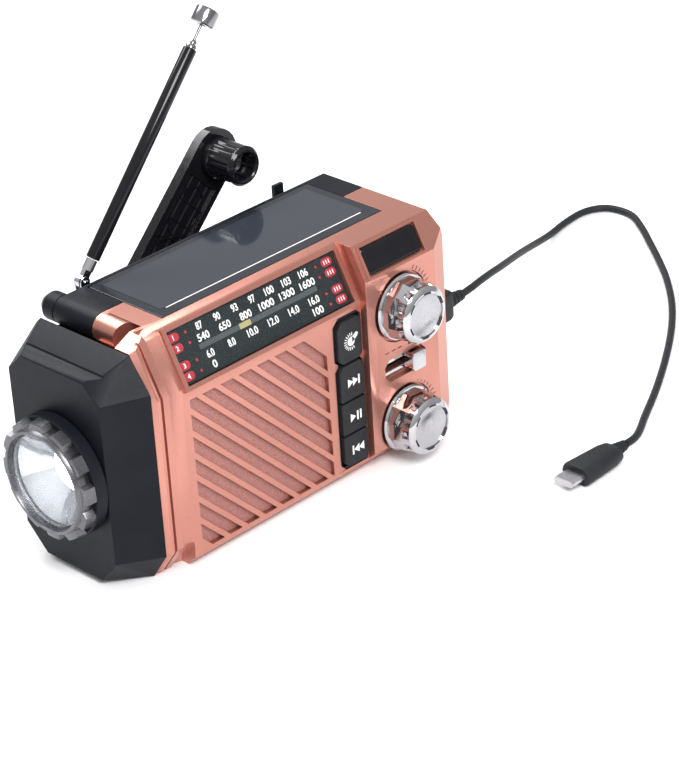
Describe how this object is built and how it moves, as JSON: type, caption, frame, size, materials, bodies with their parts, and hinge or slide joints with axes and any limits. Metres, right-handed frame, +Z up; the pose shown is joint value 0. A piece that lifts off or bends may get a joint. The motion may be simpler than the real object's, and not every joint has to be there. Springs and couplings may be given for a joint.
{
  "type": "emergency radio",
  "caption": "Portable emergency radio with a slotted speaker front, tuning dial, knobs, keys, end torch, solar roof, folding hand crank, telescopic antenna and a charging lead.",
  "frame": {"origin": "centre of the flat base, on the surface the radio stands on", "axes": "+X to the right along the front, +Y from the front towards the back, +Z up"},
  "size_m": [0.3321, 0.1449, 0.1605],
  "materials": {
    "copper_paint": "rose-copper metallic paint on moulded plastic, satin",
    "matte_black": "fine-textured moulded plastic",
    "gloss_black": "polished",
    "black_rubber": "soft-touch rubber",
    "bright_chrome": "mirror plated",
    "torch_metal": "satin grey",
    "plain_steel": "plain",
    "brass_metal": "turned",
    "dial_print": "printed scale",
    "dial_glass": "clear window",
    "clear_lens": "clear moulded lens",
    "solar_laminate": "silicon cells under clear resin",
    "mesh_cloth": "fine speaker mesh",
    "circuit_board": "solder mask",
    "white_nylon": "moulded nylon",
    "pointer_paint": "painted pointer",
    "battery_sleeve": "shrink-sleeved steel can"
  },
  "bodies": {
    "case": {"front_shell": "copper_paint", "rear_shell": "matte_black", "case_screw_1": "plain_steel", "case_screw_2": "plain_steel", "case_screw_3": "plain_steel", "case_screw_4": "plain_steel", "barrel_cap": "matte_black", "solar_panel": "solar_laminate", "battery_cell": "battery_sleeve", "torch_housing": "matte_black", "torch_bezel": "torch_metal", "torch_lens": "clear_lens", "torch_reflector": "bright_chrome", "torch_led": "clear_lens", "led_board": "circuit_board", "dial_lens": "dial_glass", "dial_plate": "dial_print", "name_plate": "gloss_black", "speaker_mesh": "mesh_cloth", "speaker_driver": "plain_steel", "button_bezel": "matte_black", "key_board": "circuit_board", "tuning_capacitor": "plain_steel", "volume_control": "plain_steel", "mode_switch_body": "plain_steel", "main_board": "circuit_board", "gear_plate": "plain_steel", "dynamo_motor": "plain_steel", "crank_bush": "brass_metal", "usb_socket": "plain_steel", "usb_plug_a": "black_rubber", "usb_cord": "black_rubber", "usb_plug_c": "black_rubber"},
    "door": {"battery_door": "matte_black"},
    "pointer": {"dial_pointer": "pointer_paint"},
    "key_lamp": {"button_lamp": "black_rubber"},
    "key_next": {"button_next": "black_rubber"},
    "key_play": {"button_play": "black_rubber"},
    "key_previous": {"button_previous": "black_rubber"},
    "tuning": {"tuning_knob": "bright_chrome", "tuning_shaft": "plain_steel"},
    "volume": {"volume_knob": "bright_chrome", "volume_shaft": "plain_steel"},
    "mode": {"mode_slider": "copper_paint"},
    "crank": {"crank_shaft": "plain_steel", "drive_gear": "white_nylon", "crank_hub": "matte_black", "crank_pin": "plain_steel"},
    "idler": {"idler_gear": "white_nylon"},
    "dynamo": {"dynamo_pinion": "brass_metal"},
    "arm": {"crank_arm": "matte_black", "knob_screw": "plain_steel"},
    "handle": {"crank_knob": "matte_black"},
    "swivel": {"antenna_swivel": "bright_chrome", "antenna_rivet": "bright_chrome"},
    "mast": {"antenna_root": "bright_chrome", "antenna_sleeve": "gloss_black"},
    "section_1": {"antenna_section_1": "bright_chrome"},
    "section_2": {"antenna_section_2": "bright_chrome"},
    "tip": {"antenna_tip": "bright_chrome"}
  },
  "joints": [
    {"name": "crank_spin", "type": "hinge", "parent": "case", "child": "crank", "pos_m": [-0.01007, 0.0485, 0.04883], "axis": [0, 1, 0], "continuous": true},
    {"name": "idler_spin", "type": "hinge", "parent": "case", "child": "idler", "pos_m": [-0.02607, 0.015, 0.03683], "axis": [0, 1, 0], "continuous": true},
    {"name": "dynamo_spin", "type": "hinge", "parent": "case", "child": "dynamo", "pos_m": [-0.02607, 0.015, 0.01883], "axis": [0, 1, 0], "continuous": true},
    {"name": "crank_fold", "type": "hinge", "parent": "crank", "child": "arm", "pos_m": [-0.01007, 0.0485, 0.04883], "axis": [-0.7071, 0, 0.7071], "range_deg": [0, 180]},
    {"name": "crank_knob_spin", "type": "hinge", "parent": "arm", "child": "handle", "pos_m": [0.0366, 0.0316, 0.0955], "axis": [0, 1, 0], "continuous": true},
    {"name": "tuning_turn", "type": "hinge", "parent": "case", "child": "tuning", "pos_m": [0.0463, -0.0289, 0.0575], "axis": [0, 1, 0], "range_deg": [-120, 180]},
    {"name": "pointer_slide", "type": "slide", "parent": "case", "child": "pointer", "axis": [1, 0, 0], "range_m": [-0.025, 0.0375]},
    {"name": "volume_turn", "type": "hinge", "parent": "case", "child": "volume", "pos_m": [0.0463, -0.0289, 0.0147], "axis": [0, 1, 0], "range_deg": [-150, 150]},
    {"name": "mode_slide", "type": "slide", "parent": "case", "child": "mode", "axis": [-1, 0, 0], "range_m": [0, 0.009]},
    {"name": "press_lamp", "type": "slide", "parent": "case", "child": "key_lamp", "axis": [0, 1, 0], "range_m": [0, 0.001], "stiffness_N_per_m": 400},
    {"name": "press_next", "type": "slide", "parent": "case", "child": "key_next", "axis": [0, 1, 0], "range_m": [0, 0.001], "stiffness_N_per_m": 400},
    {"name": "press_play", "type": "slide", "parent": "case", "child": "key_play", "axis": [0, 1, 0], "range_m": [0, 0.001], "stiffness_N_per_m": 400},
    {"name": "press_previous", "type": "slide", "parent": "case", "child": "key_previous", "axis": [0, 1, 0], "range_m": [0, 0.001], "stiffness_N_per_m": 400},
    {"name": "door_slide", "type": "slide", "parent": "case", "child": "door", "axis": [0, 0, -1], "range_m": [0, 0.02]},
    {"name": "antenna_swivel_turn", "type": "hinge", "parent": "case", "child": "swivel", "pos_m": [-0.042, 0.029, 0.0836], "axis": [0, 0, 1], "range_deg": [-120, 120]},
    {"name": "antenna_tilt", "type": "hinge", "parent": "swivel", "child": "mast", "pos_m": [-0.042, 0.029, 0.0836], "axis": [0, 1, 0], "range_deg": [-41, 44.5]},
    {"name": "section_1_slide", "type": "slide", "parent": "mast", "child": "section_1", "axis": [0.6586, 0, 0.7525], "range_m": [0, 0.07]},
    {"name": "section_2_slide", "type": "slide", "parent": "section_1", "child": "section_2", "axis": [0.6586, 0, 0.7525], "range_m": [0, 0.07]},
    {"name": "tip_slide", "type": "slide", "parent": "section_2", "child": "tip", "axis": [0.6586, 0, 0.7525], "range_m": [-0.0052, 0.07]}
  ],
  "couplings": [
    {"joint": "idler_spin", "follows": "crank_spin", "ratio": -4},
    {"joint": "dynamo_spin", "follows": "crank_spin", "ratio": 14},
    {"joint": "pointer_slide", "follows": "tuning_turn", "m_per_rad": 0.01184}
  ]
}
